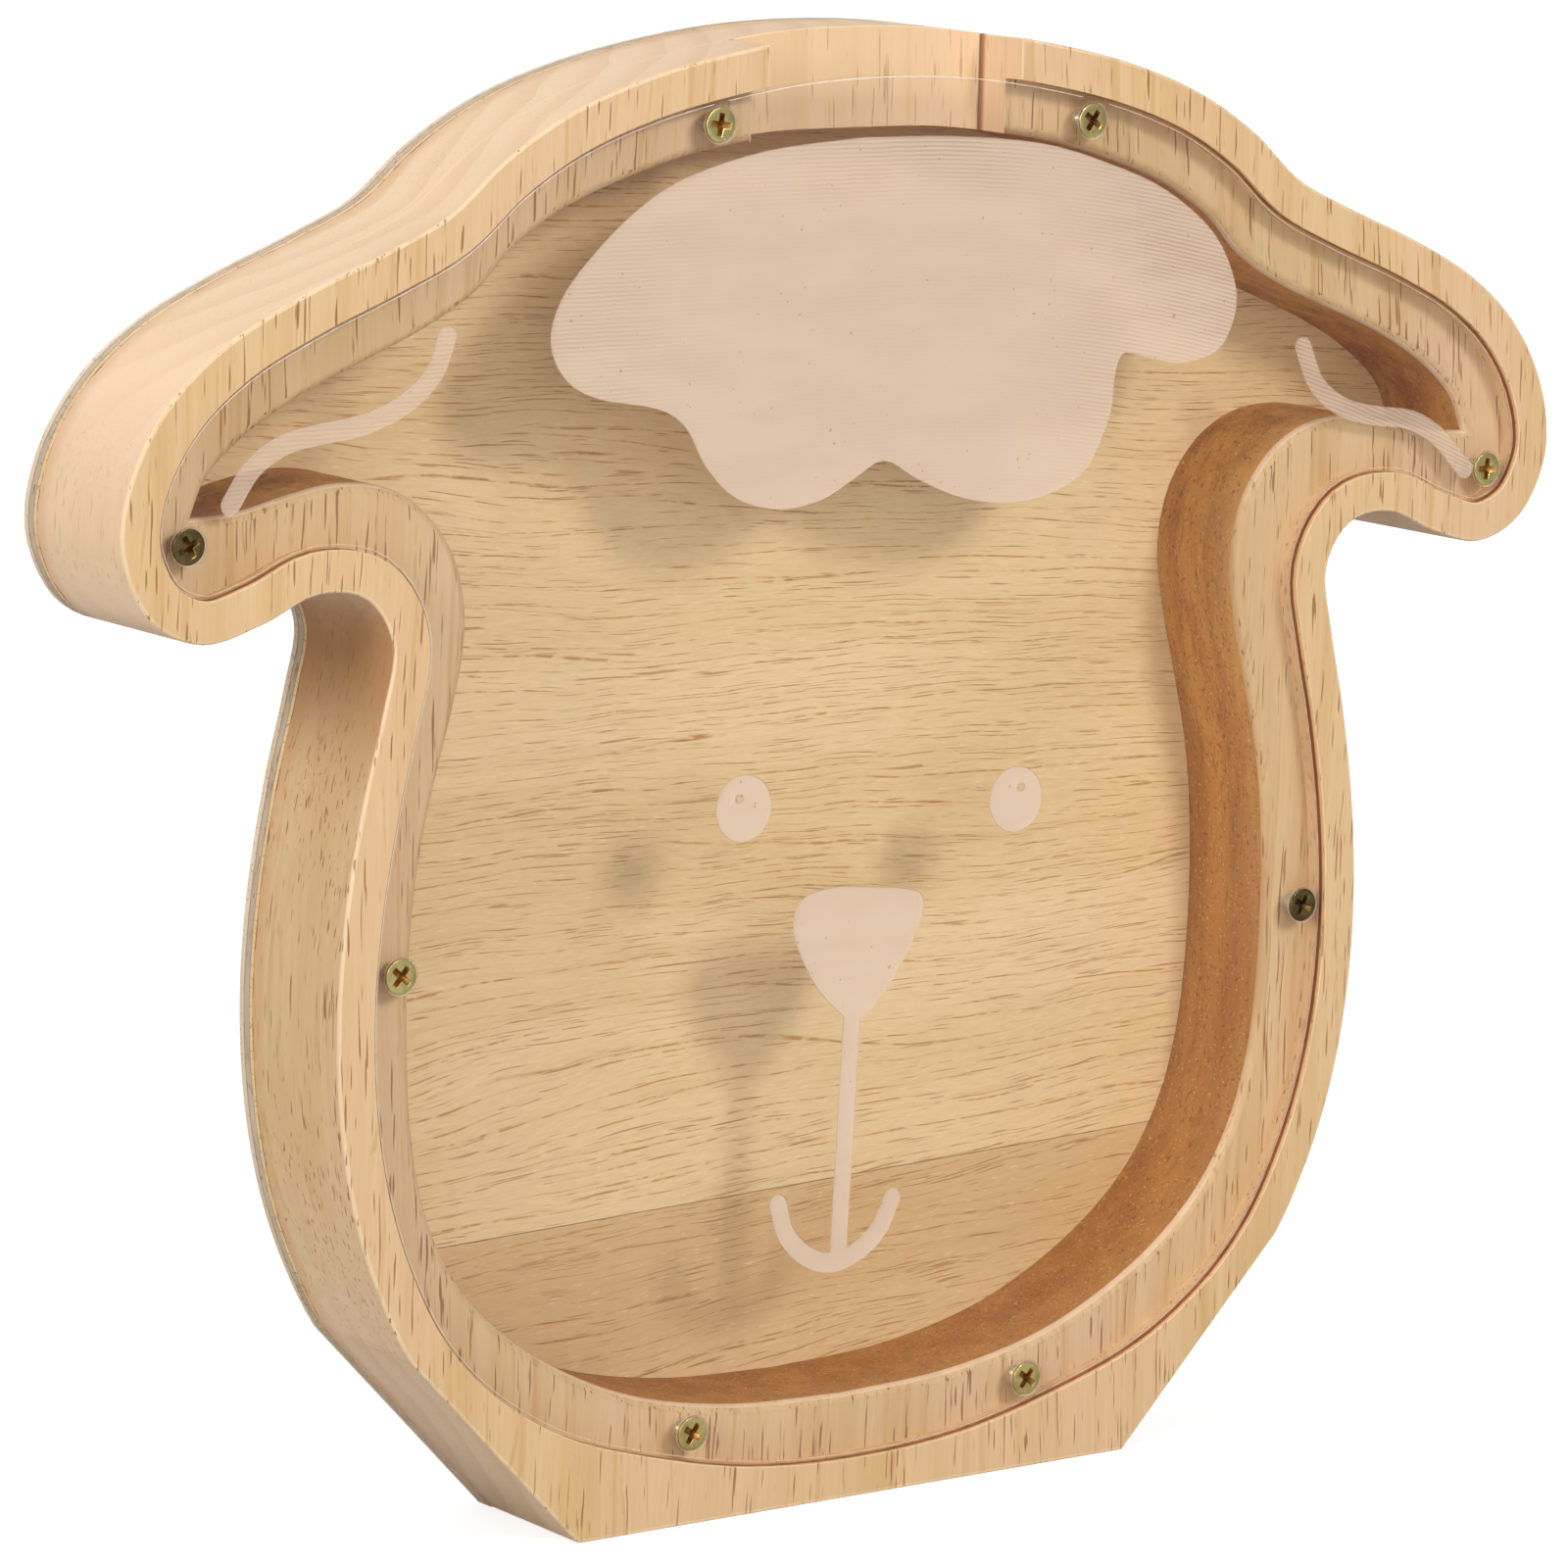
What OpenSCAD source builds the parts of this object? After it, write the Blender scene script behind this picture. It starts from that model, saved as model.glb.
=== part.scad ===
// Sheep-head money box: a thick wooden ring, a plywood back glued on behind,
// and a clear engraved window held in a rebate by eight small countersunk screws.
// Coins drop in through a channel milled across the top of the ring.
// Millimetres. X right, Y from front (-) to back (+), Z up. Origin: centre of the
// foot, on the surface it stands on.

/* [Wooden ring] */
// thickness of the solid wood ring, front to back
frame_t = 18; // [14:0.5:25]
// width of the raised lip round the window
lip_w = 4.8; // [3:0.1:6]
// half the length of the flat foot
foot_half = 40; // [30:1:48]
// height at which the sloping side of the foot leaves the head outline
foot_rise = 23.2; // [18:0.2:26]

/* [Plywood back] */
// thickness of the outer face veneer
veneer_back_t = 1.2; // [0.4:0.1:2]
// thickness of the cross-laid core
core_t = 1.2; // [0.4:0.1:3]
// thickness of the inner face veneer, the one seen through the window
veneer_front_t = 0.6; // [0.3:0.1:2]
// width of the open joint between the two strips of the inner veneer
seam_gap = 0.1; // [0:0.05:0.4]

/* [Window] */
// thickness of the clear sheet
window_t = 2.5; // [1.5:0.1:3]
// how far the face of the sheet lies below the lip
window_recess = 0.6; // [0.4:0.1:2]
// gap between the edge of the sheet and the wall of the rebate
window_gap = 0.45; // [0.3:0.05:1]
// depth of the engraved drawing
engrave_d = 0.15; // [0.05:0.05:0.4]
// width of the engraved lines
line_w = 2.4; // [1.5:0.1:4]
// diameter of each engraved eye
eye_d = 7.8; // [5:0.1:12]

/* [Coin slot] */
// length of the slot, across the top of the head
slot_w = 36; // [28:0.5:45]
// depth of the milled channel, from the front face
slot_d = 8; // [6:0.5:10]

/* [Screws] */
// diameter of the screw head
head_d = 4; // [3.5:0.1:5]
// diameter over the thread
thread_d = 2; // [1.6:0.1:2.4]
// length of the screw, head included
screw_len = 8; // [6:0.5:12]
// distance from one thread ridge to the next
thread_pitch = 0.8; // [0.5:0.1:1]
// radial clearance of the thread in the wood
pilot_clear = 0.05; // [0.02:0.01:0.1]
// radial clearance of the head in the sheet
head_clear = 0.25; // [0.1:0.05:0.4]

/* [Hidden] */
$fn = 48;
eps = 0.5;
ply_t = veneer_back_t + core_t + veneer_front_t;
depth = frame_t + ply_t;
front_y = -depth / 2;
joint_y = front_y + frame_t;
window_y = front_y + window_recess;
seat_gap = 0.05;
ledge_y = window_y + window_t + seat_gap;

// Right half of the head, from the crown round the ear, cheek and chin.
head_half = [
    [0, 172.3], [12, 171.8], [24, 170.1], [35, 167.6], [45, 164], [53.5, 159.1],
    [60.5, 153.4], [69, 149.5], [79, 145.5], [88.4, 140.8], [95.8, 134.7], [100.6, 126.9],
    [101.9, 118.5], [98.3, 111], [91.5, 107.9], [84, 109.6], [77, 112.4], [70.5, 111.4],
    [67.1, 106], [68.3, 98.5], [70.8, 88], [72.8, 76], [73.6, 64], [72.9, 52],
    [70.7, 41], [66.9, 31], [61.9, 22.5], [54.5, 15], [44, 8.5], [31, 4.1],
    [16, 0.8], [0, -0.2]
];

// Right half of the cavity: the upper edge out to the ear tip, then back to the chin.
cavity_top = [
    [0, 160.6], [12, 160.4], [24, 158.9], [34, 156.4], [43, 153.1], [49.8, 149],
    [54.5, 144.4], [61, 140.6], [69, 137.3], [77, 134], [84, 130.1], [89, 125.8],
    [91.2, 121.2]
];
cavity_side = [
    [91.2, 121.2], [85, 121.6], [79, 123], [72.5, 124], [66, 123.2], [60.5, 120],
    [56.6, 114.5], [55.2, 107.5], [56.2, 100], [58.6, 91], [60.8, 81.5], [61.9, 71],
    [62, 60], [61.1, 48.5], [58.6, 38.8], [53.9, 30.6], [47, 24], [38, 18.5],
    [28, 14.6], [15, 12.2], [0, 11.5]
];

// Screw positions, drilled by hand and so a little uneven from side to side.
screw_at = [
    [-24.1, 162.2], [29.2, 161.2], [-93.2, 118.7], [92.7, 116.7],
    [-65, 68.7], [65.8, 64.7], [-23.7, 10.6], [25.3, 10.7]
];
// how far each driver cross is turned
screw_turn = [8, 35, 62, 4, 40, 28, 33, 38];

// how far the drawing sits off the middle of the window
drawing_at = [-0.4, 0.1];

// Ends of the joint in the inner face veneer.
seam_left = [-110, 30];
seam_right = [110, 37];

// One point of a smooth curve through b and c, t from 0 to 1.
function spline(a, b, c, d, t) =
    0.5 * (2 * b + (c - a) * t + (2 * a - 5 * b + 4 * c - d) * t * t
    + (3 * b - a - 3 * c + d) * t * t * t);

// Smooth open curve through a list of points, n steps to each span.
function curve(p, n) =
    let (m = len(p) - 1, q = concat([2 * p[0] - p[1]], p, [2 * p[m] - p[m - 1]]))
    [for (i = [0 : m - 1], k = [0 : n - 1]) spline(q[i], q[i + 1], q[i + 2], q[i + 3], k / n),
     p[m]];

// A half outline from crown to chin, completed with its mirror image.
function both_sides(h) =
    concat(h, [for (i = [len(h) - 2 : -1 : 1]) [-h[i].x, h[i].y]]);

// The smooth half head, leaving the crown and the chin level.
function half_head(n) =
    let (p = head_half, m = len(p) - 1,
         q = concat([[-p[1].x, p[1].y]], p, [[-p[m - 1].x, p[m - 1].y]]))
    [for (i = [0 : m - 1], k = [0 : n - 1]) spline(q[i], q[i + 1], q[i + 2], q[i + 3], k / n),
     p[m]];

// A closed clockwise outline moved inwards by d.
function inset(p, d) =
    let (n = len(p))
    [for (i = [0 : n - 1])
        let (a = p[(i + n - 1) % n], b = p[(i + 1) % n], t = (b - a) / norm(b - a))
        p[i] + d * [t.y, -t.x]];

head_line = both_sides(half_head(5));
outer_line = both_sides(concat([for (p = half_head(5)) if (p.y > foot_rise) p],
                               [[foot_half, 0], [0, 0]]));
rebate_line = inset(head_line, lip_w);
window_line = inset(head_line, lip_w + window_gap);
cavity_half = concat(curve(cavity_top, 5), [for (i = [1 : 5 * (len(cavity_side) - 1)])
                                            curve(cavity_side, 5)[i]]);
cavity_line = both_sides(cavity_half);

// A flat plate standing upright, from y to y + t, with the outline drawn in X and Z.
module plate(y, t) {
    translate([0, y + t, 0]) rotate([90, 0, 0]) linear_extrude(t) children();
}

// Places something along +Y into the object at one screw.
module at_screw(i, y) {
    translate([screw_at[i].x, y, screw_at[i].y]) rotate([-90, 0, 0]) children();
}

// Half a circle of points round c, starting at heading a and turning clockwise.
function cap(c, a) = [for (k = [0 : 8]) c + line_w / 2 * [cos(a - k * 22.5), sin(a - k * 22.5)]];

// A line of even width with round ends, through a list of points.
module stroke(p) {
    n = len(p);
    turn = [for (i = [0 : n - 1])
        let (t = p[min(i + 1, n - 1)] - p[max(i - 1, 0)]) atan2(t.y, t.x) + 90];
    side = [for (i = [0 : n - 1]) line_w / 2 * [cos(turn[i]), sin(turn[i])]];
    polygon(concat([for (i = [1 : n - 2]) p[i] + side[i]], cap(p[n - 1], turn[n - 1]),
                   [for (i = [n - 2 : -1 : 1]) p[i] - side[i]], cap(p[0], turn[0] + 180)));
}

// The woolly fringe: three round lobes below and a smooth upper edge.
module fringe() {
    polygon(curve([[-4, 160.1], [9, 159.9], [22, 158.7], [32, 156.1], [41, 152.6],
                   [48.5, 147.2], [52, 141], [51.8, 136.6], [49.3, 133.1], [43.5, 132],
                   [38, 133.2], [35.2, 133.5], [34.1, 131], [33.6, 126.5], [30.6, 120.6],
                   [25.8, 117.8], [19.3, 116.8], [12, 117.8], [5.3, 120.4], [0.5, 122.8],
                   [-4, 120.8], [-8.5, 118.7], [-14.4, 118], [-20.5, 119.7], [-24.7, 123.5],
                   [-27.5, 128], [-31.5, 130.4], [-39.5, 131.9], [-44, 134.2], [-46.2, 138.4],
                   [-45, 143], [-41.2, 147.6], [-35, 152.8], [-28, 156.4], [-17, 159],
                   [-4, 160.1]], 4));
}

// One eye, left clear inside a small ring where it catches the light.
module eye(x, z, ring_x, ring_z) {
    difference() {
        translate([x, z]) circle(d = eye_d, $fn = 64);
        translate([ring_x, ring_z]) difference() {
            circle(r = 0.55, $fn = 24);
            circle(r = 0.32, $fn = 24);
        }
    }
}

// The rounded triangular nose.
module nose() {
    polygon(curve([[-1.7, 56.6], [-7, 61.5], [-10.6, 68.2], [-9.6, 72.2], [-5, 73.3], [0, 72.9],
                   [5, 72.3], [8, 70.9], [6.9, 66.4], [2.6, 60], [-1.7, 56.6]], 4));
}

// Everything that is engraved on the window.
module drawing() {
    fringe();
    eye(-18.2, 83.7, -18.9, 84.9);
    eye(21.3, 81.5, 22, 82.9);
    nose();
    stroke([[-1.9, 58.5], [-2.4, 45], [-3, 29.6]]);
    stroke(curve([[-11.9, 36.4], [-10.6, 32.6], [-7.6, 29.7], [-3.9, 28.5], [0, 29.5],
                  [3, 31.9], [4.7, 35.3]], 4));
    stroke(curve([[-59.9, 139.9], [-61.6, 135.8], [-65.5, 132.6], [-70.7, 130.7],
                  [-76.5, 129.9], [-81, 129], [-84.9, 126.6], [-87.6, 122.8]], 4));
    stroke(curve([[62.9, 133.1], [65.3, 128.4], [69.6, 125.4], [75, 124.1], [80.5, 123.3],
                  [85.1, 120.9], [89.5, 116.8]], 4));
}

module frame() {
    color("burlywood") difference() {
        plate(front_y, frame_t) polygon(outer_line);
        plate(front_y - eps, ledge_y - front_y + eps) polygon(rebate_line);
        plate(front_y, frame_t + eps) polygon(cavity_line);
        translate([-slot_w / 2, front_y - eps, 150]) cube([slot_w, slot_d + eps, 40]);
        for (i = [0 : 7]) at_screw(i, ledge_y - eps)
            cylinder(r = thread_d / 2 + pilot_clear, h = window_y + screw_len + 1 - ledge_y + eps);
    }
}

module veneer_back() {
    color("wheat") plate(joint_y + veneer_front_t + core_t, veneer_back_t) polygon(outer_line);
}

module core_ply() {
    color("tan") plate(joint_y + veneer_front_t, core_t) polygon(outer_line);
}

// The inner face veneer above or below its joint.
module face_veneer(above) {
    lift = above ? seam_gap / 2 : -seam_gap / 2;
    far = above ? 250 : -50;
    plate(joint_y, veneer_front_t) intersection() {
        polygon(outer_line);
        polygon([seam_left + [0, lift], seam_right + [0, lift], [110, far], [-110, far]]);
    }
}

module veneer_front_upper() {
    color("moccasin") face_veneer(true);
}

module veneer_front_lower() {
    color("navajowhite") face_veneer(false);
}

module window() {
    cone_top = head_d / 2 + head_clear;
    hole_r = thread_d / 2 + head_clear;
    color("lightblue", 0.4) difference() {
        plate(window_y, window_t) polygon(window_line);
        plate(window_y - eps, engrave_d + eps) translate(drawing_at) drawing();
        for (i = [0 : 7]) {
            at_screw(i, window_y - eps) cylinder(r = hole_r, h = window_t + 2 * eps);
            at_screw(i, window_y - eps) cylinder(r = cone_top, h = eps + 0.15);
            at_screw(i, window_y + 0.15)
                cylinder(r1 = cone_top, r2 = hole_r, h = cone_top - hole_r);
        }
    }
}

// Profile of a screw from head to point: rim, cone, ridged thread and tip.
function screw_profile() =
    let (hr = head_d / 2, tr = thread_d / 2, root = tr - 0.25, start = 0.15 + hr - tr + 0.4,
         ridges = floor((screw_len - 1.2 - start) / thread_pitch))
    concat([[0, 0], [hr, 0], [hr, 0.15], [tr - 0.1, 0.15 + hr - tr + 0.1], [tr - 0.1, start]],
           [for (k = [0 : ridges - 1], s = [0, 0.5])
            [s == 0 ? root : tr, start + thread_pitch * (k + 0.25 + s)]],
           [[root, screw_len - 1], [0, screw_len]]);

module screw(i) {
    color("goldenrod") at_screw(i, window_y) rotate([0, 0, screw_turn[i]]) difference() {
        rotate_extrude() polygon(screw_profile());
        intersection() {
            union() {
                for (a = [0, 90]) rotate([0, 0, a])
                    translate([-1.5, -0.35, -eps]) cube([3, 0.7, 1.2 + eps]);
            }
            translate([0, 0, -eps]) cylinder(r1 = 1.35 + eps * 0.7, r2 = 0.4, h = 1.3 + eps);
        }
    }
}

module screw_1() screw(0);
module screw_2() screw(1);
module screw_3() screw(2);
module screw_4() screw(3);
module screw_5() screw(4);
module screw_6() screw(5);
module screw_7() screw(6);
module screw_8() screw(7);

frame();
veneer_back();
core_ply();
veneer_front_upper();
veneer_front_lower();
window();
screw_1();
screw_2();
screw_3();
screw_4();
screw_5();
screw_6();
screw_7();
screw_8();
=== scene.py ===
"""Wooden sheep-head money box: materials, eased edges, light and camera over the CAD frame."""

import math

import bpy
from mathutils import Matrix, Vector


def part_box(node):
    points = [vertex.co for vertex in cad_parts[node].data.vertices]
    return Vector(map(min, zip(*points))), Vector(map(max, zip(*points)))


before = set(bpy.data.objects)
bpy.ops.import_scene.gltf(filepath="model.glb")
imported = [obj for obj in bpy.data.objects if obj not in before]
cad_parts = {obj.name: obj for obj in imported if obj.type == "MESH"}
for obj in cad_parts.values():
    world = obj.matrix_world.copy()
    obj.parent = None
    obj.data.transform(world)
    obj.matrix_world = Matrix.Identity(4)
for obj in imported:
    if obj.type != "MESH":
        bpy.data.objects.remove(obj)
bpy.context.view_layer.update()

MM = 0.001
NEAR = 0.05 * MM

# Levels along Y, taken from the CAD pieces.
FRONT_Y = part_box("frame")[0].y
WINDOW_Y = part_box("window")[0].y
WINDOW_BACK_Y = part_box("window")[1].y
LEDGE_Y = WINDOW_BACK_Y + 0.05 * MM
JOINT_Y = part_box("veneer_front_upper")[0].y
CORE_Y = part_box("core_ply")[0].y
OUTER_PLY_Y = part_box("veneer_back")[0].y
# The coin channel: its floor is the only flat place on the ring this far behind the front.
CHANNEL_DEPTH = 8 * MM
CHANNEL_Y = FRONT_Y + CHANNEL_DEPTH
CHANNEL_HALF = max(v.co.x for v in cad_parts["frame"].data.vertices
                   if abs(v.co.y - CHANNEL_Y) < NEAR)
CHANNEL_LOW = 150 * MM
ENGRAVE_DEPTH = 0.15 * MM

SCREWS = ["screw_%d" % i for i in range(1, 9)]
# Two screws get a darker copy of the plating: a painted dark reflection.
SCREWS_WITH_PAINTED_DARK_REFLECTION = ("screw_3", "screw_6")
SCREW_AT = [0.5 * (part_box(s)[0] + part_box(s)[1]) for s in SCREWS]

# Widths of the eased edges.
OUTER_ROUND = 0.4 * MM
CHANNEL_ROUND = 0.15 * MM
LIP_ROUND = 0.12 * MM
LEDGE_CHAMFER = 1.1 * MM
PLY_ROUND = 0.35 * MM
SHEET_ROUND = 0.12 * MM
HEAD_ROUND = 0.07 * MM


class Tree:
    """A material's nodes, made and joined with few words."""

    def __init__(self, name):
        self.mat = bpy.data.materials.new(name)
        self.mat.use_nodes = True
        self.nodes = self.mat.node_tree.nodes
        self.links = self.mat.node_tree.links
        self.nodes.clear()
        self.out = self.nodes.new("ShaderNodeOutputMaterial")
        self.bsdf = self.nodes.new("ShaderNodeBsdfPrincipled")
        self.links.new(self.bsdf.outputs[0], self.out.inputs[0])
        self.pos = self.nodes.new("ShaderNodeTexCoord").outputs["Object"]
        self.geo = self.nodes.new("ShaderNodeNewGeometry")

    def put(self, socket, value):
        """Links a socket or sets a plain value; None leaves the socket as it is."""
        if isinstance(value, bpy.types.NodeSocket):
            self.links.new(value, socket)
        elif value is not None:
            socket.default_value = value

    def math(self, op, a, b=None, c=None):
        n = self.nodes.new("ShaderNodeMath")
        n.operation = op
        for s, v in zip(n.inputs, (a, b, c)):
            self.put(s, v)
        return n.outputs[0]

    def times(self, first, *others):
        for other in others:
            first = self.math("MULTIPLY", first, other)
        return first

    def vec(self, op, a, b=None):
        n = self.nodes.new("ShaderNodeVectorMath")
        n.operation = op
        self.put(n.inputs[0], a)
        self.put(n.inputs["Scale"] if op == "SCALE" else n.inputs[1], b)
        return n.outputs[1] if op in ("LENGTH", "DOT_PRODUCT") else n.outputs[0]

    def xyz(self, v):
        n = self.nodes.new("ShaderNodeSeparateXYZ")
        self.put(n.inputs[0], v)
        return n.outputs

    def join(self, x, y, z):
        n = self.nodes.new("ShaderNodeCombineXYZ")
        for s, v in zip(n.inputs, (x, y, z)):
            self.put(s, v)
        return n.outputs[0]

    def noise(self, v, scale=1.0, detail=3.0, rough=0.5):
        n = self.nodes.new("ShaderNodeTexNoise")
        self.put(n.inputs["Vector"], v)
        n.inputs["Scale"].default_value = scale
        n.inputs["Detail"].default_value = detail
        n.inputs["Roughness"].default_value = rough
        return n.outputs[0]

    def band(self, v, lo, hi, a=0.0, b=1.0, smooth=True):
        """v from lo to hi becomes a to b."""
        n = self.nodes.new("ShaderNodeMapRange")
        n.interpolation_type = "SMOOTHSTEP" if smooth else "LINEAR"
        self.put(n.inputs[0], v)
        for s, x in zip(n.inputs[1:5], (lo, hi, a, b)):
            self.put(s, x)
        return n.outputs[0]

    def mix(self, f, a, b):
        """a where f is 0 and b where f is 1."""
        n = self.nodes.new("ShaderNodeMix")
        n.data_type = "RGBA"
        self.put(n.inputs[0], f)
        self.put(n.inputs[6], a)
        self.put(n.inputs[7], b)
        return n.outputs[2]

    def bump(self, height, strength, dist, normal=None):
        n = self.nodes.new("ShaderNodeBump")
        n.inputs["Strength"].default_value = strength
        n.inputs["Distance"].default_value = dist
        self.put(n.inputs["Height"], height)
        self.put(n.inputs["Normal"], normal)
        return n.outputs[0]

    def set(self, **kw):
        for k, v in kw.items():
            self.put(self.bsdf.inputs[k.replace("_", " ")], v)


def rgb(r, g, b):
    """An sRGB colour, 0 to 255, as a linear RGBA."""
    def lin(c):
        c /= 255.0
        return c / 12.92 if c <= 0.04045 else ((c + 0.055) / 1.055) ** 2.4
    return (lin(r), lin(g), lin(b), 1.0)


class Wood(Tree):
    """Bare wood with its fibres along X or Z. Lengths below are millimetres.

    u runs across the grain and l along it; w is the remaining direction."""

    def __init__(self, name, along, seed=0.0):
        super().__init__(name)
        self.seed = seed
        x, y, z = self.xyz(self.vec("SCALE", self.pos, 1000.0))
        if along == "X":
            u, w, l = z, y, x
            # the veneer's grain fans out: downhill to the right at the top, uphill at the chin
            fan = self.band(z, 25.0, 120.0, 0.10, -0.07, smooth=False)
            u = self.math("SUBTRACT", u, self.math("MULTIPLY", fan, x))
            slow, quick = 5.0, 0.7
        else:
            u, w, l = x, y, z
            slow, quick = 4.0, 0.5
        drift = self.noise(self.join(self.math("MULTIPLY_ADD", u, 0.03, seed),
                                     self.math("MULTIPLY", w, 0.03),
                                     self.math("MULTIPLY", l, 0.012)), 1.0, 1.0)
        ripple = self.noise(self.join(self.math("MULTIPLY_ADD", u, 0.12, seed),
                                      self.math("MULTIPLY", w, 0.12),
                                      self.math("MULTIPLY", l, 0.07)), 1.0, 1.0)
        u = self.math("MULTIPLY_ADD", drift, 2.0 * slow, u)
        self.u = self.math("MULTIPLY_ADD", ripple, 2.0 * quick, u)
        self.w = w
        self.l = l

    def grain(self, across, length, detail=2.0, rough=0.5, off=0.0):
        """Noise drawn out along the fibres; across and length are its sizes in millimetres."""
        v = self.join(self.math("MULTIPLY_ADD", self.u, 1.0 / across, self.seed + off),
                      self.math("MULTIPLY", self.w, 1.0 / across),
                      self.math("MULTIPLY", self.l, 1.0 / length))
        return self.noise(v, 1.0, detail, rough)

    def lines(self, spacing, width, tilt=0.0, off=0.0):
        """Thin parallel growth lines that wander with the grain and come and go along it."""
        across = self.math("MULTIPLY_ADD", self.w, tilt, self.u)
        loose = self.grain(9.0, 120.0, 1.0, off=51.0 + off)
        phase = self.math("MULTIPLY_ADD", loose, 5.0, self.math("DIVIDE", across, spacing))
        near = self.math("ABSOLUTE", self.math("SUBTRACT", self.math("FRACT", phase), 0.5))
        half = 0.5 * width / spacing
        line = self.band(near, 0.4 * half, 1.6 * half, 1.0, 0.0)
        stretch = self.band(self.grain(1.1, 24.0, 1.0, off=23.0 + off), 0.43, 0.57)
        dash = self.band(self.grain(0.9, 2.2, 2.0, 0.6, off=77.0 + off), 0.38, 0.60, 0.15, 1.0)
        return self.math("MULTIPLY", line, self.math("MULTIPLY", stretch, dash))

    def pores(self, width, length, share=0.66, off=0.0):
        """Short, thin, dark open pores, thicker on the ground in some bands than in others."""
        thin = self.grain(width, length, 1.0, 0.4, off=19.0 + off)
        crowd = self.band(self.grain(6.0, 60.0, 1.0, off=5.0 + off), 0.35, 0.65, 0.03, -0.02)
        return self.band(self.math("SUBTRACT", thin, crowd), share, share + 0.05)

    def finish(self, col, cuts, rough=0.56):
        """Fibre relief, cut pores and a satin surface."""
        fibre = self.grain(0.35, 9.0, 2.0, 0.6, off=3.0)
        normal = self.bump(fibre, 0.10, 0.1 * MM)
        normal = self.bump(self.math("MULTIPLY", cuts, -1.0), 0.5, 0.12 * MM, normal)
        self.set(Base_Color=col, Roughness=self.band(fibre, 0.3, 0.7, rough - 0.05, rough + 0.08),
                 Normal=normal, Specular_IOR_Level=0.3)
        return self.mat


def end_grain(t, end, col):
    """Paler wood where end is 1, with growth rings round a heart beside the board."""
    x, y, _ = t.xyz(t.pos)
    col = t.mix(end, col, rgb(232, 204, 172))
    heart = t.join(t.math("ADD", x, 62.0 * MM), t.math("SUBTRACT", y, 30.0 * MM), 0.0)
    warp = t.times(t.noise(t.vec("SCALE", t.pos, 60.0), 1.0, 2.0), 5.0 * MM)
    year = t.math("DIVIDE", t.math("ADD", t.vec("LENGTH", heart), warp), 5.5 * MM)
    late = t.band(t.math("FRACT", year), 0.30, 0.95)
    col = t.mix(t.times(late, end, 0.34), col, rgb(208, 166, 124))
    blot = t.noise(t.vec("SCALE", t.pos, 34.0), 1.0, 3.0, 0.6)
    return t.mix(t.times(t.band(blot, 0.45, 0.70, 0.0, 0.35), end), col, rgb(214, 176, 138))


def ear_tip_light_and_under_ear_shade(t, tone, col):
    """Painted light makes the ears' ends paler; painted shade darkens the tight curve under each ear,
    where the ear hangs over it.
    """
    x, _, z = t.xyz(t.pos)
    out = t.math("ABSOLUTE", x)
    normal = t.xyz(t.geo.outputs["True Normal"])
    side = t.band(t.math("ABSOLUTE", normal[1]), 0.2, 0.5, 1.0, 0.0)
    # painted light: the outer ends of the ears are paler
    painted_tip_light = t.times(side, t.band(out, 84.0 * MM, 96.0 * MM, 0.0, 0.6))
    col = t.mix(painted_tip_light, col, rgb(238, 206, 174))
    # painted shade: the tight curve under each ear, which the ear overhangs
    under = t.times(t.band(z, 84.0 * MM, 103.0 * MM), t.band(out, 74.0 * MM, 84.0 * MM, 1.0, 0.0),
                    t.band(z, 108.0 * MM, 114.0 * MM, 1.0, 0.0))
    painted_under_ear_shade = t.times(side, under, t.band(tone, 0.3, 0.6, 0.55, 0.9))
    return t.mix(painted_under_ear_shade, col, rgb(176, 126, 78))


def joint_stain(t, col):
    """A ragged brown line where the ring is glued to the plywood."""
    ragged = t.times(t.noise(t.vec("SCALE", t.pos, 260.0), 1.0, 3.0, 0.6), 1.2 * MM)
    behind = t.math("ADD", t.xyz(t.pos)[1], ragged)
    stain = t.band(behind, JOINT_Y - 2.4 * MM, JOINT_Y + 0.4 * MM, 0.0, 0.35)
    col = t.mix(stain, col, rgb(196, 142, 92))
    glue = t.band(behind, JOINT_Y + 0.35 * MM, JOINT_Y + 0.6 * MM)
    return t.mix(t.times(glue, 0.8), col, rgb(128, 80, 44))


def channel_light_and_corner_shade(t, col):
    """The coin channel's floor and cheeks get painted light, and the corners where the cheeks meet the
    floor painted shade.
    """
    x, y, z = t.xyz(t.pos)
    high = t.math("GREATER_THAN", z, CHANNEL_LOW)
    cheek = t.times(t.math("COMPARE", t.math("ABSOLUTE", x), CHANNEL_HALF, 0.2 * MM),
                    t.math("LESS_THAN", y, CHANNEL_Y + NEAR))
    # painted light: the channel's floor and cheeks are paler
    painted_channel_light = t.math("MAXIMUM", cheek, t.math("COMPARE", y, CHANNEL_Y, 0.2 * MM))
    col = t.mix(t.times(painted_channel_light, high, 0.45), col, rgb(242, 208, 170))
    # painted shade in the corners where the cheeks meet the channel's floor
    corner = t.times(t.band(y, CHANNEL_Y - 1.3 * MM, CHANNEL_Y - 0.2 * MM), cheek, high, 0.85)
    return t.mix(corner, col, rgb(140, 78, 38))


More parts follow.
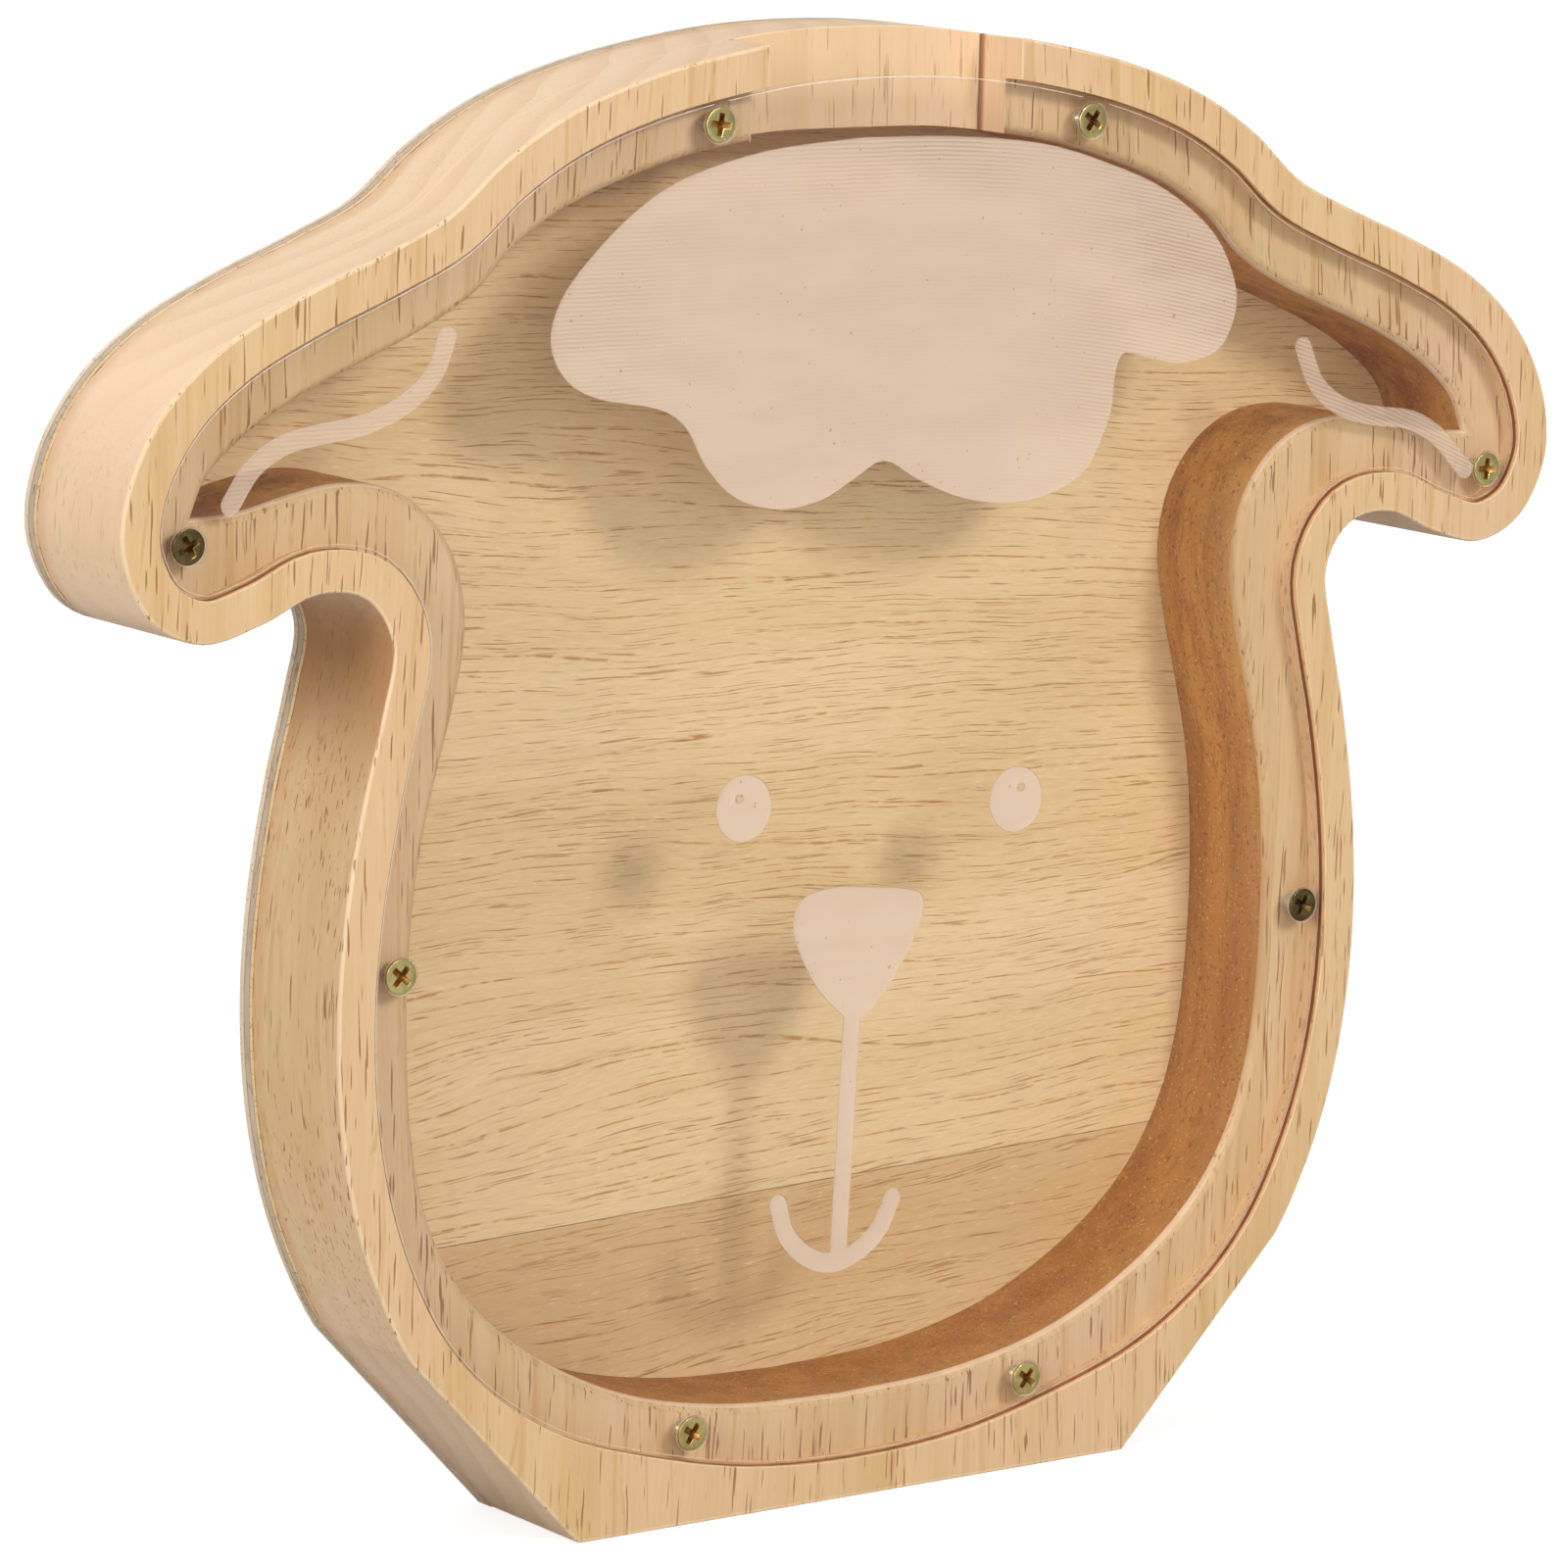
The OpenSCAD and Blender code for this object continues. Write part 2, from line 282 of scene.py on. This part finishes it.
def ring_wood(name, light, yellow, pink, streak, pore, seed=0.0):
    """The solid board: straight upright grain and paler end grain, with painted light and shade at the
    ears and in the coin channel.
    """
    t = Wood(name, "Z", seed)
    stripes = t.grain(4.5, 150.0, 2.0, 0.5, off=9.0)
    tone = t.grain(22.0, 260.0, 1.0, off=14.0)
    col = t.mix(t.band(stripes, 0.35, 0.65), light, yellow)
    col = t.mix(t.band(tone, 0.42, 0.62, 0.0, 0.8), col, pink)
    rings = t.grain(1.6, 90.0, 2.0, 0.6, off=37.0)
    col = t.mix(t.band(rings, 0.55, 0.72, 0.0, 0.55), col, streak)
    fibre = t.grain(0.5, 12.0, 2.0, 0.6, off=61.0)
    col = t.mix(t.band(fibre, 0.3, 0.7, 0.0, 0.22), col, streak)
    normal = t.xyz(t.geo.outputs["True Normal"])
    end = t.times(t.band(t.math("ABSOLUTE", normal[1]), 0.3, 0.7, 1.0, 0.0),
                  t.band(t.math("ABSOLUTE", normal[2]), 0.15, 0.7, 0.05, 0.85))
    col = end_grain(t, end, col)
    along = t.math("SUBTRACT", 1.0, end)
    lines = t.times(t.lines(2.6, 0.24, tilt=0.3), along)
    col = t.mix(t.times(lines, 0.6), col, streak)
    pores = t.times(t.pores(0.34, 7.0, 0.65), along)
    col = t.mix(t.times(pores, 0.85), col, pore)
    col = ear_tip_light_and_under_ear_shade(t, tone, col)
    col = joint_stain(t, col)
    return t.finish(channel_light_and_corner_shade(t, col), pores)


def rebate_wood():
    """The wall round the sheet: plain wood, with painted shade in the gap beside the sheet."""
    t = Wood("rebate_wall", "Z", 5.0)
    tone = t.grain(3.0, 40.0, 2.0, off=9.0)
    col = t.mix(t.band(tone, 0.35, 0.65), rgb(222, 186, 140), rgb(212, 174, 126))
    y = t.xyz(t.pos)[1]
    # painted shade in the narrow gap between the sheet's edge and the wall
    dark = t.times(t.band(y, WINDOW_Y - 0.15 * MM, WINDOW_Y + 0.1 * MM),
                   t.band(y, WINDOW_Y + 0.5 * MM, WINDOW_Y + 1.1 * MM, 1.0, 0.0))
    col = t.mix(dark, col, t.mix(t.band(tone, 0.35, 0.65), rgb(162, 102, 62), rgb(138, 82, 46)))
    pores = t.pores(0.3, 3.0)
    return t.finish(t.mix(t.times(pores, 0.6), col, rgb(110, 62, 32)), pores)


def cavity_wood_painted_shade():
    """The routed wall of the cavity: a darker, oranger copy of the wood, which is painted shade,
    banded, with dark pores and pale flecks.
    """
    t = Wood("cavity_wall_painted_shade", "Z", 27.0)
    bands = t.grain(5.0, 60.0, 3.0, 0.6, off=2.0)
    # painted shade: the walls' darker orange tones
    col = t.mix(t.band(bands, 0.35, 0.65), rgb(202, 144, 66), rgb(172, 112, 46))
    deep = t.grain(1.8, 40.0, 2.0, 0.6, off=44.0)
    col = t.mix(t.band(deep, 0.54, 0.70, 0.0, 0.5), col, rgb(140, 82, 38))
    pores = t.pores(0.24, 2.4, 0.65)
    col = t.mix(t.times(pores, 0.7), col, rgb(110, 58, 22))
    _, y, z = t.xyz(t.pos)
    # painted light: paler near the ledge, where light falls into the cavity
    col = t.mix(t.band(y, LEDGE_Y, LEDGE_Y + 9.0 * MM, 0.45, 0.0), col, rgb(214, 164, 100))
    # painted shade: darker towards the bottom
    col = t.mix(t.band(z, 40.0 * MM, 110.0 * MM, 0.5, 0.0), col, rgb(152, 94, 38))
    dots = t.band(t.noise(t.vec("SCALE", t.pos, 1500.0), 1.0, 2.0), 0.60, 0.68, 0.0, 0.5)
    col = t.mix(dots, col, rgb(112, 62, 28))
    fleck = t.band(t.noise(t.vec("SCALE", t.pos, 2600.0), 1.0, 1.0), 0.64, 0.72, 0.0, 0.55)
    col = t.mix(fleck, col, rgb(226, 178, 122))
    return t.finish(col, pores, 0.62)


def panel_wood(name, light, mid, low, streak, pore, seed):
    """The inner face veneer seen through the window: long fine level grain."""
    t = Wood(name, "X", seed)
    tone = t.grain(16.0, 190.0, 2.0, 0.5, off=14.0)
    col = t.mix(t.band(tone, 0.36, 0.64), light, mid)
    cloud = t.noise(t.vec("SCALE", t.pos, 28.0), 1.0, 2.0)
    col = t.mix(t.band(cloud, 0.45, 0.70, 0.0, 0.6), col, low)
    bands = t.grain(2.4, 60.0, 2.0, 0.6, off=37.0)
    col = t.mix(t.band(bands, 0.52, 0.76, 0.0, 0.14), col, streak)
    fibre = t.grain(0.28, 2.5, 2.0, 0.6, off=61.0)
    col = t.mix(t.band(fibre, 0.3, 0.7, 0.0, 0.16), col, streak)
    lines = t.math("MAXIMUM", t.lines(1.35, 0.15), t.lines(2.3, 0.14, off=130.0))
    col = t.mix(t.times(lines, 0.95), col, streak)
    pores = t.pores(0.18, 7.0, 0.665)
    col = t.mix(t.times(pores, 0.6), col, pore)
    glint = t.band(t.grain(0.3, 2.5, 1.0, off=91.0), 0.66, 0.70, 0.0, 0.35)
    col = t.mix(glint, col, rgb(244, 222, 184))
    cuts = t.math("MAXIMUM", pores, t.times(lines, 0.5))
    return t.finish(col, cuts, 0.55)


def back_veneer():
    """The outer face veneer: plain level grain, browner along its cut front edge."""
    t = Wood("back_veneer", "X", 43.0)
    tone = t.grain(14.0, 170.0, 2.0, off=14.0)
    col = t.mix(t.band(tone, 0.36, 0.64), rgb(229, 207, 180), rgb(220, 194, 162))
    lines = t.lines(1.9, 0.24)
    col = t.mix(t.times(lines, 0.6), col, rgb(194, 152, 108))
    pores = t.pores(0.3, 6.0, 0.66)
    col = t.mix(t.times(pores, 0.6), col, rgb(160, 110, 66))
    y = t.xyz(t.pos)[1]
    cut = t.band(y, OUTER_PLY_Y, OUTER_PLY_Y + 0.15 * MM, 0.6, 0.0)
    col = t.mix(cut, col, rgb(150, 116, 84))
    return t.finish(col, pores)


def core_wood():
    """The grey core of the plywood between two dark glue lines."""
    t = Wood("core_wood", "Z", 11.0)
    tone = t.grain(3.0, 12.0, 3.0, 0.6, off=14.0)
    col = t.mix(t.band(tone, 0.3, 0.7), rgb(200, 182, 158), rgb(180, 160, 136))
    pores = t.pores(0.3, 2.0, 0.62)
    col = t.mix(t.times(pores, 0.6), col, rgb(120, 94, 68))
    y = t.xyz(t.pos)[1]
    middle = 0.5 * (CORE_Y + OUTER_PLY_Y)
    half = 0.5 * (OUTER_PLY_Y - CORE_Y)
    edge = t.band(t.math("ABSOLUTE", t.math("SUBTRACT", y, middle)), half - 0.18 * MM, half)
    col = t.mix(t.times(edge, 0.75), col, rgb(120, 90, 64))
    return t.finish(col, pores)


def sheet(name, low, high, alpha, rough=0.05, speckle=40.0, deep=None):
    """Clear plastic: a faint veil where it is polished, a stronger, paler one where it was cut, partly
    the cut's frosting and partly painted light.

    deep is the veil behind the first half millimetre, where it differs."""
    t = Tree(name)
    haze = t.noise(t.vec("SCALE", t.pos, speckle), 1.0, 2.0)
    veil = t.band(haze, 0.3, 0.7, 0.85 * alpha, 1.15 * alpha)
    if deep is not None:
        y = t.xyz(t.pos)[1]
        veil = t.times(veil, t.band(y, WINDOW_Y + 0.4 * MM, WINDOW_Y + 0.7 * MM, 1.0, deep / alpha))
    t.set(Base_Color=t.mix(haze, low, high), Roughness=t.band(haze, 0.3, 0.7, rough, rough * 1.4),
          IOR=1.49, Alpha=veil)
    return t.mat


RASTER_PITCH = 0.5  # millimetres between the engraver's lines


def engraving():
    """Frosted floor of the engraving; the raster lines show where the beam turned round."""
    t = Tree("engraving")
    x, y, z = t.xyz(t.vec("SCALE", t.pos, 1000.0))
    wobble = t.noise(t.join(t.times(x, 0.25), 0.0, t.times(z, 0.25)), 1.0, 2.0)
    bow = t.times(t.math("POWER", t.math("MAXIMUM", x, 0.0), 2.0), 0.0025)
    level = t.math("ADD", t.math("ADD", bow, z), t.times(wobble, 0.25))
    wave = t.math("SINE", t.times(level, 2.0 * math.pi / RASTER_PITCH))
    ends = t.band(t.math("ABSOLUTE", x), 20.0, 44.0, 0.08, 1.0)
    top = t.band(z, 150.0, 158.0, 0.0, 0.8)
    patch = t.noise(t.join(t.times(x, 0.06), 3.0, t.times(z, 0.2)), 1.0, 2.0)
    strong = t.times(t.math("MAXIMUM", ends, top), t.band(patch, 0.30, 0.60, 0.35, 1.0),
                     t.band(z, 96.0, 112.0, 0.12, 1.0), t.band(x, -30.0, 20.0, 0.55, 1.0))
    stripe = t.times(t.band(wave, -0.6, 0.9), strong)
    col = t.mix(t.times(stripe, 0.35), rgb(216, 192, 170), rgb(186, 156, 136))
    col = t.mix(t.band(patch, 0.40, 0.66, 0.0, 0.3), col, rgb(206, 178, 154))
    speck = t.band(t.noise(t.vec("SCALE", t.pos, 1500.0), 1.0, 1.0), 0.76, 0.79, 0.0, 0.6)
    col = t.mix(speck, col, rgb(150, 112, 88))
    normal = t.bump(t.times(wave, strong), 0.35, 0.06 * MM)
    normal = t.bump(t.noise(t.vec("SCALE", t.pos, 2500.0), 1.0, 2.0), 0.15, 0.05 * MM, normal)
    cover = t.band(t.math("ABSOLUTE", x), 53.0, 58.0, 0.84, 0.66)
    t.set(Base_Color=col, Roughness=0.55, IOR=1.49,
          Alpha=t.math("SUBTRACT", cover, t.times(stripe, 0.15)), Normal=normal)
    return t.mat


def plated(name, bright, dull, rough, metal=1.0):
    """Yellow plating, patchy in colour and gloss."""
    t = Tree(name)
    patch = t.noise(t.vec("SCALE", t.pos, 420.0), 1.0, 3.0, 0.6)
    fine = t.noise(t.vec("SCALE", t.pos, 3000.0), 1.0, 2.0)
    t.set(Base_Color=t.mix(t.band(patch, 0.35, 0.65), bright, dull), Metallic=metal,
          Roughness=t.band(patch, 0.3, 0.7, rough, rough + 0.14), Normal=t.bump(fine, 0.10, 0.04 * MM))
    return t.mat


def dress(node, *mats):
    """Gives a CAD piece its materials, in slot order."""
    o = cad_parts[node]
    o.data.materials.clear()
    for m in mats:
        o.data.materials.append(m)
    return o


def ease(o, radius, segments=3, slot=-1, tag="bevel_weight_edge"):
    """Rounds the sharp outward edges of a CAD piece by modifiers only.

    radius(middle, normal_a, normal_b) is the round of one edge in metres, 0 to leave it sharp."""
    mesh = o.data
    faces = {}

    def key(i, j):
        return tuple(sorted(tuple(round(c * 1e6) for c in mesh.vertices[k].co) for k in (i, j)))

    for p in mesh.polygons:
        for i, j in p.edge_keys:
            faces.setdefault(key(i, j), []).append((p.normal.copy(), p.center.copy()))
    widths, creases = [], []
    for e in mesh.edges:
        i, j = e.vertices
        pair = faces[key(i, j)]
        width, corner = 0.0, False
        if len(pair) == 2:
            (na, ca), (nb, cb) = pair
            corner = na.dot(nb) < math.cos(math.radians(30))
            if corner and (cb - ca).dot(na) < 0:
                width = radius(0.5 * (mesh.vertices[i].co + mesh.vertices[j].co), na, nb)
        widths.append(width)
        creases.append(corner and width == 0.0)
    most = max(widths)
    weights = mesh.attributes.new(tag, "FLOAT", "EDGE")
    weights.data.foreach_set("value", [w / most for w in widths])
    if "joined_vertices" not in o.modifiers:
        weld = o.modifiers.new("joined_vertices", "WELD")
        weld.merge_threshold = 1e-6
    m = o.modifiers.new("eased_" + tag, "BEVEL")
    m.edge_weight = tag
    m.width = most
    m.segments = segments
    m.limit_method = "WEIGHT"
    m.use_clamp_overlap = False
    m.material = slot
    for p in mesh.polygons:
        p.use_smooth = True
    sharp = mesh.attributes.get("sharp_edge")
    before = [True] * len(creases)
    if tag != "bevel_weight_edge":
        sharp.data.foreach_get("value", before)
    sharp = sharp or mesh.attributes.new("sharp_edge", "BOOLEAN", "EDGE")
    sharp.data.foreach_set("value", [a and b for a, b in zip(creases, before)])
    if "smooth" in o.modifiers:
        o.modifiers.remove(o.modifiers["smooth"])
    s = o.modifiers.new("smooth", "WEIGHTED_NORMAL")
    s.keep_sharp = True
    return o


# ---------------------------------------------------------------- the pieces

def in_channel(c):
    return c.z > CHANNEL_LOW and abs(c.x) <= CHANNEL_HALF + NEAR


def near_screw(c, reach):
    return any(math.hypot(c.x - s.x, c.z - s.z) <= reach for s in SCREW_AT)


RING, CAVITY, ARRIS, REBATE, CHAMFER = range(5)
ring = dress("frame",
             ring_wood("ring_wood", rgb(216, 183, 138), rgb(208, 172, 124), rgb(218, 183, 145),
                       rgb(196, 154, 98), rgb(146, 94, 46)),
             cavity_wood_painted_shade(),
             # the eased edges: a paler copy of the ring wood, partly rubbed raw fibres and partly
             # painted highlight
             ring_wood("ring_arris_painted_highlight", rgb(226, 198, 158), rgb(218, 188, 146), rgb(228, 198, 164),
                       rgb(200, 162, 116), rgb(158, 110, 66)),
             rebate_wood(),
             # the ledge's chamfer into the cavity: a slightly darker copy of the ring wood, painted
             # shade
             ring_wood("cavity_chamfer_painted_shade", rgb(214, 180, 132), rgb(208, 172, 122), rgb(214, 180, 138),
                       rgb(180, 140, 88), rgb(140, 92, 48)))
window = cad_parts["window"]
for p in ring.data.polygons:
    if abs(p.normal.y) > 0.5 or (in_channel(p.center) and p.center.y < CHANNEL_Y + NEAR):
        continue
    # a wall belongs to the opening when the sheet lies in front of it or behind it
    start = p.center + p.normal * MM
    inside = any(window.ray_cast(Vector((start.x, side * 1.0, start.z)), Vector((0, -side, 0)))[0]
                 for side in (-1, 1))
    if inside:
        p.material_index = CAVITY if p.center.y > LEDGE_Y - NEAR else REBATE


def ring_round(c, na, nb):
    """The front rim, the lip's inner edge and the soft edge of the cavity."""
    if in_channel(c):
        return CHANNEL_ROUND if c.y < CHANNEL_Y + NEAR else OUTER_ROUND
    if c.y > JOINT_Y - NEAR:
        return 0.0
    if abs(c.y - FRONT_Y) < NEAR:
        wall = na if abs(na.y) < 0.5 else nb
        start = c + wall * MM
        hit = window.ray_cast(Vector((start.x, -1.0, start.z)), Vector((0, 1, 0)))[0]
        return LIP_ROUND if hit else OUTER_ROUND
    return OUTER_ROUND if abs(na.y) < 0.5 and abs(nb.y) < 0.5 else 0.0


def cavity_round(c, na, nb):
    """The wide chamfer where the ledge drops into the cavity."""
    on_ledge = abs(c.y - LEDGE_Y) < NEAR and not in_channel(c) and not near_screw(c, 1.3 * MM)
    return LEDGE_CHAMFER if on_ledge else 0.0


ease(ring, ring_round, 3, ARRIS)
ease(ring, cavity_round, 2, CHAMFER, "cavity_weight")


def back_round(c, na, nb):
    """Only the rim of the plywood's outer face."""
    flat = max(abs(na.y), abs(nb.y)) > 0.5
    wall = min(abs(na.y), abs(nb.y)) < 0.5
    return PLY_ROUND if c.y > OUTER_PLY_Y + NEAR and flat and wall else 0.0


ease(dress("veneer_back", back_veneer()), back_round, 2)
dress("core_ply", core_wood())
dress("veneer_front_upper",
      panel_wood("inner_veneer_upper", rgb(236, 206, 158), rgb(229, 197, 146), rgb(221, 188, 136),
                 rgb(190, 138, 72), rgb(164, 104, 46), 61.0))
dress("veneer_front_lower",
      panel_wood("inner_veneer_lower", rgb(222, 188, 138), rgb(214, 178, 127), rgb(204, 166, 115),
                 rgb(184, 136, 82), rgb(150, 98, 50), 83.0))

CLEAR, CUT, FROSTED, RIM, DRILLED = range(5)
dress("window",
      sheet("clear_sheet", (0.22, 0.23, 0.25, 1), (0.34, 0.35, 0.37, 1), 0.035),
      # the cut edge: a pale mauve veil, partly frosting and partly painted light caught inside the
      # sheet
      sheet("sheet_edge_frosted_and_painted_light", rgb(206, 172, 150), rgb(226, 196, 178), 0.5, 0.2, 700.0, 0.06),
      engraving(),
      # the front rim's near-white is a painted highlight
      sheet("sheet_rim_painted_highlight", rgb(240, 224, 212), rgb(250, 240, 232), 0.6, 0.15, 700.0),
      # the drilled holes' pale walls: partly the drill's frosting, partly painted highlight
      sheet("drilled_hole_frosted_and_painted_highlight", rgb(216, 190, 160), rgb(240, 224, 204), 0.5, 0.3, 900.0))
for p in window.data.polygons:
    if p.normal.y < -0.99 and abs(p.center.y - WINDOW_Y - ENGRAVE_DEPTH) < NEAR:
        p.material_index = FROSTED
    elif abs(p.normal.y) < 0.9 and p.center.y < WINDOW_Y + ENGRAVE_DEPTH:
        p.material_index = FROSTED
    elif abs(p.normal.y) < 0.9:
        p.material_index = DRILLED if near_screw(p.center, 2.2 * MM) else CUT


def sheet_round(c, na, nb):
    """Only the front rim of the sheet's outline catches the light."""
    if abs(na.y) < 0.1 and abs(nb.y) < 0.1:
        return 0.0
    if min(abs(na.y), abs(nb.y)) > 0.1:
        return 0.0
    if abs(c.y - WINDOW_Y) < NEAR and is_outline(c, na if abs(na.y) < 0.5 else nb):
        return SHEET_ROUND
    return 0.0


def is_outline(c, wall):
    """The outside edge of the sheet: no sheet beyond the wall it ends in."""
    start = c + Vector((wall.x, 0, wall.z)) * 0.2 * MM
    beyond = window.ray_cast(Vector((start.x, 1.0, start.z)), Vector((0, -1, 0)))[0]
    return not beyond and not near_screw(c, 3.0 * MM)


ease(window, sheet_round, 2, RIM)

head = plated("plated_head", rgb(226, 214, 146), rgb(190, 176, 110), 0.24)
# painted dark reflection for the two screws that mirror dark surroundings
head_painted_dark_reflection = plated("plated_painted_dark_reflection", rgb(128, 112, 74), rgb(92, 78, 48), 0.22)
# the cross recess gets a darker copy of the plating: painted shade, deeper still on the two dark
# screws
recess = plated("plated_recess_painted_shade", rgb(196, 140, 60), rgb(104, 66, 26), 0.32, 0.7)
recess_painted_deeper_shade = plated("plated_recess_painted_deeper_shade", rgb(150, 114, 56), rgb(58, 42, 22), 0.3, 0.8)
for name in SCREWS:
    o = dress(name, *((head_painted_dark_reflection, recess_painted_deeper_shade) if name in SCREWS_WITH_PAINTED_DARK_REFLECTION else (head, recess)))
    lo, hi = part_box(name)
    mid = 0.5 * (lo + hi)
    # the cross: inside the head, facing its middle or the front; its darker material is painted shade
    for p in o.data.polygons:
        deep = p.center.y - lo.y
        reach = math.hypot(p.center.x - mid.x, p.center.z - mid.z)
        inward = p.normal.x * (p.center.x - mid.x) + p.normal.z * (p.center.z - mid.z) < 0
        if 0.02 * MM < deep < 1.4 * MM and reach < 1.55 * MM and (inward or p.normal.y < -0.5):
            p.material_index = 1
    ease(o, lambda c, na, nb: HEAD_ROUND if c.y < lo.y + 0.2 * MM else 0.0, 2)


# ---------------------------------------------------------------- studio

AIM = Vector((0, 0, 0.09))


def area(name, toward, distance, size, power):
    """A round soft light in the direction toward, seen from the middle of the box."""
    data = bpy.data.lights.new(name, "AREA")
    data.shape = "DISK"
    data.size = size
    data.energy = power
    o = bpy.data.objects.new(name, data)
    bpy.context.scene.collection.objects.link(o)
    d = Vector(toward).normalized()
    o.location = AIM + d * distance
    o.rotation_euler = (-d).to_track_quat("-Z", "Y").to_euler()


area("key", (0.17, -1.0, 0.57), 1.3, 0.34, 7.6)
area("side_fill", (-1.0, -0.26, 0.40), 1.4, 0.7, 9.8)
area("top_fill", (-0.1, 0.15, 1.0), 1.3, 0.9, 3.7)
area("front_fill", (-0.35, -1.0, 0.15), 1.5, 1.1, 5.8)
area("back_fill", (0.25, 1.0, 0.12), 1.5, 1.1, 6.0)

scene = bpy.context.scene
scene.view_settings.view_transform = "Standard"

# The world and the floor are brighter to the camera than as lights, for a white background.
WORLD_LIGHT = 0.38
WORLD_SEEN = 1.0
world = bpy.data.worlds.new("studio")
scene.world = world
world.use_nodes = True
shade = world.node_tree.nodes["Background"]
shade.inputs[0].default_value = (1.0, 1.0, 1.0, 1.0)
path = world.node_tree.nodes.new("ShaderNodeLightPath")
level = world.node_tree.nodes.new("ShaderNodeMapRange")
level.inputs[3].default_value = WORLD_LIGHT
level.inputs[4].default_value = WORLD_SEEN
world.node_tree.links.new(path.outputs["Is Camera Ray"], level.inputs[0])
world.node_tree.links.new(level.outputs[0], shade.inputs[1])

FLOOR_HALF = 6.0
floor_mesh = bpy.data.meshes.new("floor")
floor_mesh.from_pydata([(x * FLOOR_HALF, y * FLOOR_HALF, 0)
                        for x, y in ((-1, -1), (1, -1), (1, 1), (-1, 1))], [], [(0, 1, 2, 3)])
floor = bpy.data.objects.new("floor", floor_mesh)
scene.collection.objects.link(floor)
ft = Tree("floor_paper")
tooth = ft.noise(ft.vec("SCALE", ft.pos, 300.0), 1.0, 2.0)
away = ft.vec("LENGTH", ft.pos)
seen = ft.nodes.new("ShaderNodeLightPath").outputs["Is Camera Ray"]
ft.set(Base_Color=ft.mix(tooth, (0.44, 0.44, 0.44, 1), (0.46, 0.46, 0.46, 1)), Roughness=0.8,
       Emission_Color=(1.0, 1.0, 1.0, 1.0),
       Emission_Strength=ft.times(seen, ft.band(away, 0.1, 1.5, 0.70, 0.98)))
floor_mesh.materials.append(ft.mat)

# The camera stands in front of the box, to its left and a little above it.
CAMERA_AT = Vector((-0.4941, -0.6660, 0.2290))
CAMERA_AHEAD = Vector((0.5824, 0.7943, -0.1729))
CAMERA_RIGHT = Vector((0.80878, -0.58757, 0.02528))
LENS_MM = 165.06
cam_data = bpy.data.cameras.new("camera")
cam_data.sensor_width = 36.0
cam_data.lens = LENS_MM
cam_data.clip_start = 0.05
cam_data.clip_end = 50.0
cam = bpy.data.objects.new("camera", cam_data)
scene.collection.objects.link(cam)
ahead = CAMERA_AHEAD.normalized()
right = (CAMERA_RIGHT - ahead * CAMERA_RIGHT.dot(ahead)).normalized()
up = right.cross(ahead)
m = Matrix((right, up, -ahead)).transposed().to_4x4()
m.translation = CAMERA_AT
cam.matrix_world = m
scene.camera = cam
